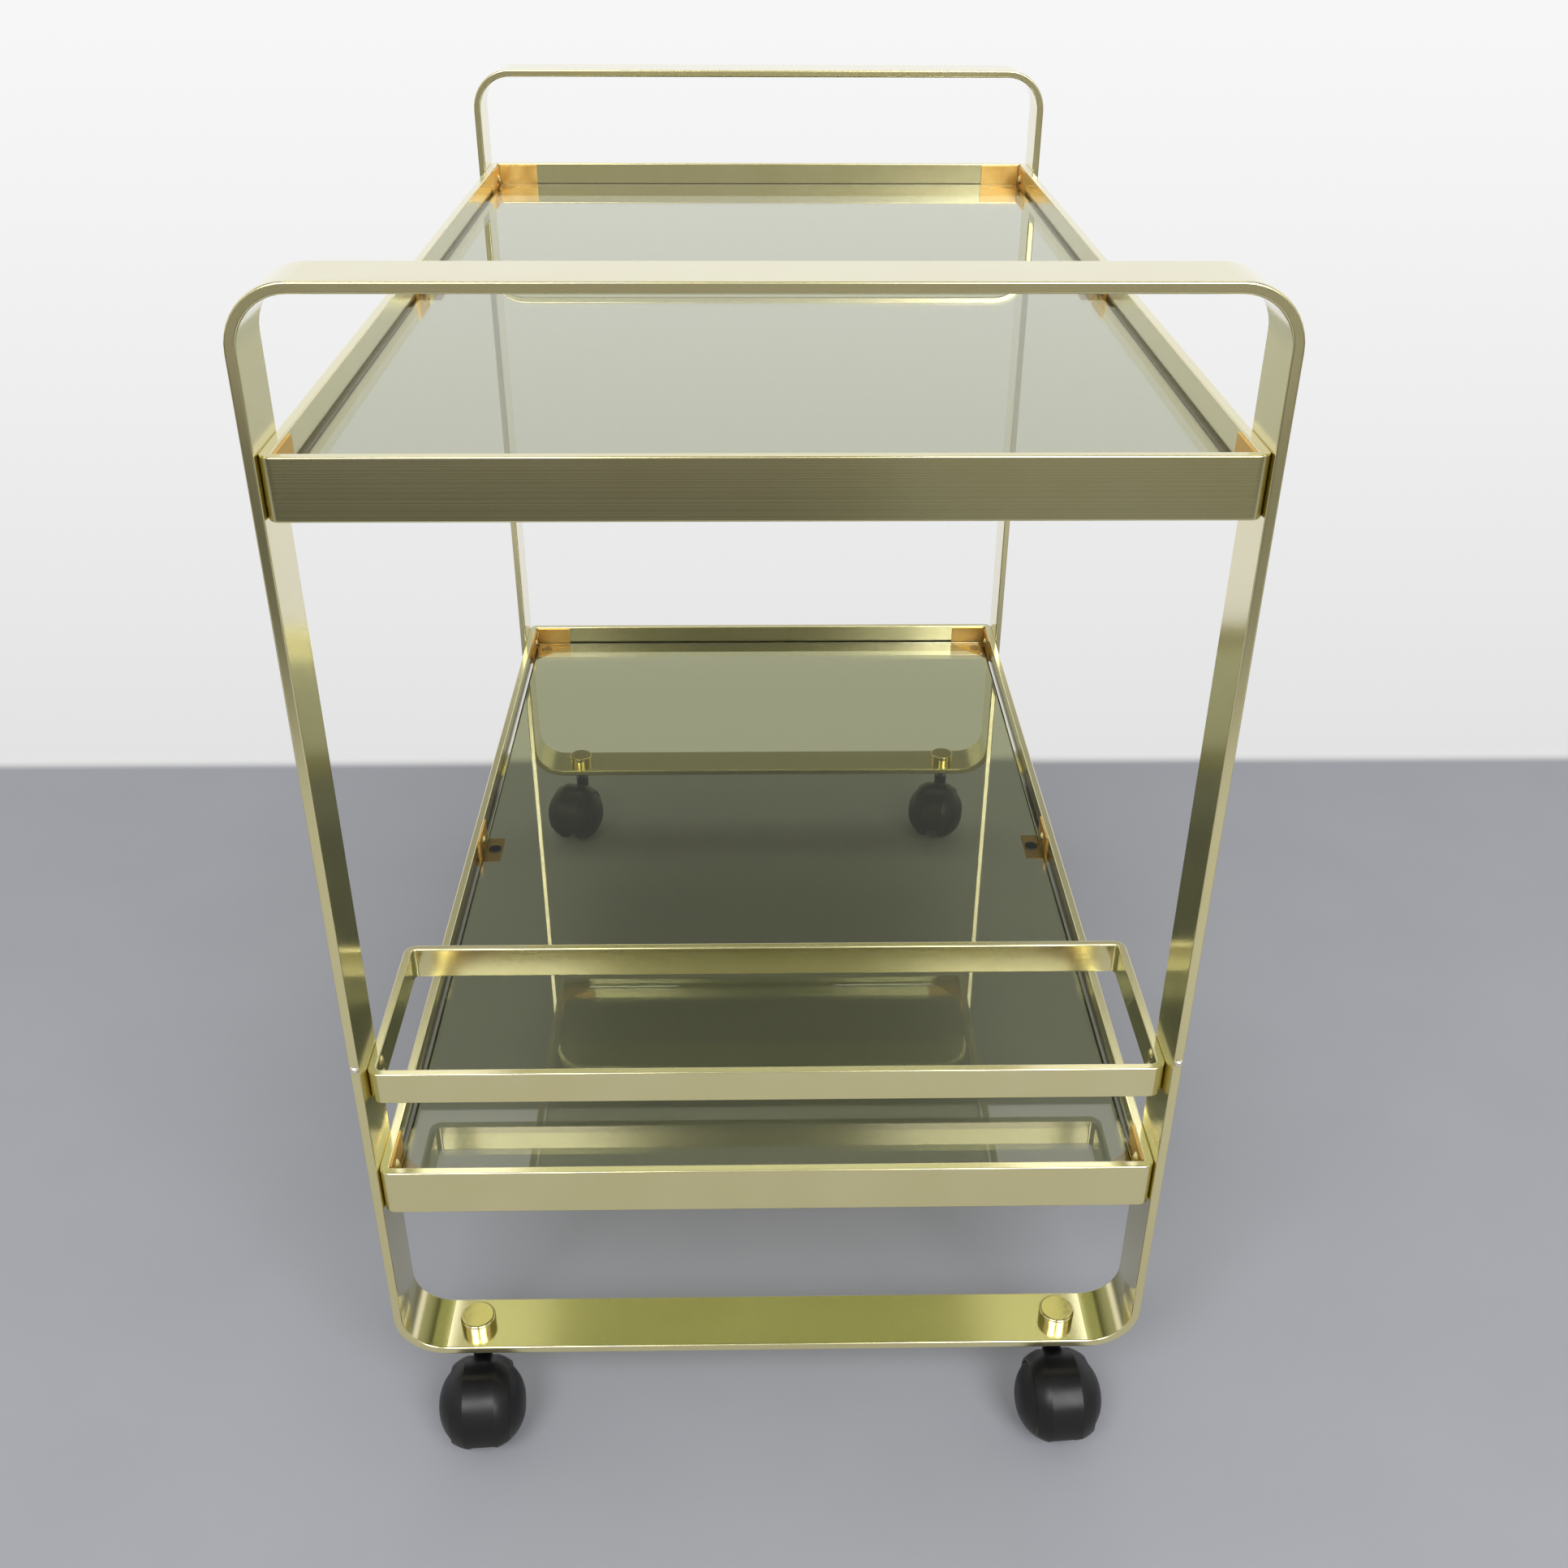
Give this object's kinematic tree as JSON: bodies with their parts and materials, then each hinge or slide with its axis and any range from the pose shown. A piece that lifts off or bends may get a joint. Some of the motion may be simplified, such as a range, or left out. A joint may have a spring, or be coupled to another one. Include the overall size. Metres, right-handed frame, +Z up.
{
  "type": "bar cart",
  "caption": "Bar cart of gold flat bar: end hoops are legs and push handles, smoked glass trays lie in bar rims, a bottle rail runs over the lower tray, on ball-shaped swivel casters.",
  "frame": {"origin": "on the floor under the middle of the whole cart, front casters trailing to the front", "axes": "+X to the cart's right, +Y from the bottle rail end to the plain end, +Z up"},
  "size_m": [0.431, 0.7254, 0.672],
  "materials": {
    "gold_bar": "satin gold anodised",
    "gold_sheet": "yellow zinc plated",
    "gold_fastener": "bright gold plated",
    "bright_screw": "polished",
    "steel": "zinc plated",
    "smoked_glass": "smoked, polished edges",
    "clear_pad": "clear soft plastic",
    "black_hood": "satin black",
    "black_wheel": "satin black"
  },
  "bodies": {
    "frame": {"front_hoop": "gold_bar", "rear_hoop": "gold_bar", "bottle_rail": "gold_bar", "bottle_rail_rivets": "gold_fastener", "edge_screws": "bright_screw", "caster_cap_nuts": "gold_fastener", "upper_tray_rim": "gold_bar", "upper_glass": "smoked_glass", "upper_glass_pads": "clear_pad", "upper_left_clip": "gold_sheet", "upper_front_left_bracket": "gold_sheet", "upper_rear_left_bracket": "gold_sheet", "upper_right_clip": "gold_sheet", "upper_front_right_bracket": "gold_sheet", "upper_rear_right_bracket": "gold_sheet", "upper_tray_screws": "gold_fastener", "upper_clip_rivets": "gold_fastener", "lower_tray_rim": "gold_bar", "lower_glass": "smoked_glass", "lower_glass_pads": "clear_pad", "lower_left_clip": "gold_sheet", "lower_front_left_bracket": "gold_sheet", "lower_rear_left_bracket": "gold_sheet", "lower_right_clip": "gold_sheet", "lower_front_right_bracket": "gold_sheet", "lower_rear_right_bracket": "gold_sheet", "lower_tray_screws": "gold_fastener", "lower_clip_rivets": "gold_fastener", "front_left_caster_stem": "steel", "front_left_caster_ring": "steel", "front_right_caster_stem": "steel", "front_right_caster_ring": "steel", "rear_left_caster_stem": "steel", "rear_left_caster_ring": "steel", "rear_right_caster_stem": "steel", "rear_right_caster_ring": "steel"},
    "front_left_swivel": {"front_left_caster_hood": "black_hood", "front_left_caster_axle": "steel"},
    "front_left_left_wheel": {"front_left_caster_left_wheel": "black_wheel"},
    "front_left_right_wheel": {"front_left_caster_right_wheel": "black_wheel"},
    "front_right_swivel": {"front_right_caster_hood": "black_hood", "front_right_caster_axle": "steel"},
    "front_right_left_wheel": {"front_right_caster_left_wheel": "black_wheel"},
    "front_right_right_wheel": {"front_right_caster_right_wheel": "black_wheel"},
    "rear_left_swivel": {"rear_left_caster_hood": "black_hood", "rear_left_caster_axle": "steel"},
    "rear_left_left_wheel": {"rear_left_caster_left_wheel": "black_wheel"},
    "rear_left_right_wheel": {"rear_left_caster_right_wheel": "black_wheel"},
    "rear_right_swivel": {"rear_right_caster_hood": "black_hood", "rear_right_caster_axle": "steel"},
    "rear_right_left_wheel": {"rear_right_caster_left_wheel": "black_wheel"},
    "rear_right_right_wheel": {"rear_right_caster_right_wheel": "black_wheel"}
  },
  "joints": [
    {"name": "front_left_swivel_turn", "type": "hinge", "parent": "frame", "child": "front_left_swivel", "pos_m": [-0.17, -0.31335, 0.04], "axis": [0, 0, 1], "continuous": true},
    {"name": "front_left_left_wheel_roll", "type": "hinge", "parent": "front_left_swivel", "child": "front_left_left_wheel", "pos_m": [-0.16847, -0.33529, 0.025], "axis": [0.9976, 0.0698, 0], "continuous": true},
    {"name": "front_left_right_wheel_roll", "type": "hinge", "parent": "front_left_swivel", "child": "front_left_right_wheel", "pos_m": [-0.16847, -0.33529, 0.025], "axis": [0.9976, 0.0698, 0], "continuous": true},
    {"name": "front_right_swivel_turn", "type": "hinge", "parent": "frame", "child": "front_right_swivel", "pos_m": [0.17, -0.31335, 0.04], "axis": [0, 0, 1], "continuous": true},
    {"name": "front_right_left_wheel_roll", "type": "hinge", "parent": "front_right_swivel", "child": "front_right_left_wheel", "pos_m": [0.17153, -0.33529, 0.025], "axis": [0.9976, 0.0698, 0], "continuous": true},
    {"name": "front_right_right_wheel_roll", "type": "hinge", "parent": "front_right_swivel", "child": "front_right_right_wheel", "pos_m": [0.17153, -0.33529, 0.025], "axis": [0.9976, 0.0698, 0], "continuous": true},
    {"name": "rear_left_swivel_turn", "type": "hinge", "parent": "frame", "child": "rear_left_swivel", "pos_m": [-0.17, 0.34465, 0.04], "axis": [0, 0, 1], "continuous": true},
    {"name": "rear_left_left_wheel_roll", "type": "hinge", "parent": "rear_left_swivel", "child": "rear_left_left_wheel", "pos_m": [-0.17569, 0.3234, 0.025], "axis": [0.9659, -0.2588, 0], "continuous": true},
    {"name": "rear_left_right_wheel_roll", "type": "hinge", "parent": "rear_left_swivel", "child": "rear_left_right_wheel", "pos_m": [-0.17569, 0.3234, 0.025], "axis": [0.9659, -0.2588, 0], "continuous": true},
    {"name": "rear_right_swivel_turn", "type": "hinge", "parent": "frame", "child": "rear_right_swivel", "pos_m": [0.17, 0.34465, 0.04], "axis": [0, 0, 1], "continuous": true},
    {"name": "rear_right_left_wheel_roll", "type": "hinge", "parent": "rear_right_swivel", "child": "rear_right_left_wheel", "pos_m": [0.16431, 0.3234, 0.025], "axis": [0.9659, -0.2588, 0], "continuous": true},
    {"name": "rear_right_right_wheel_roll", "type": "hinge", "parent": "rear_right_swivel", "child": "rear_right_right_wheel", "pos_m": [0.16431, 0.3234, 0.025], "axis": [0.9659, -0.2588, 0], "continuous": true}
  ]
}
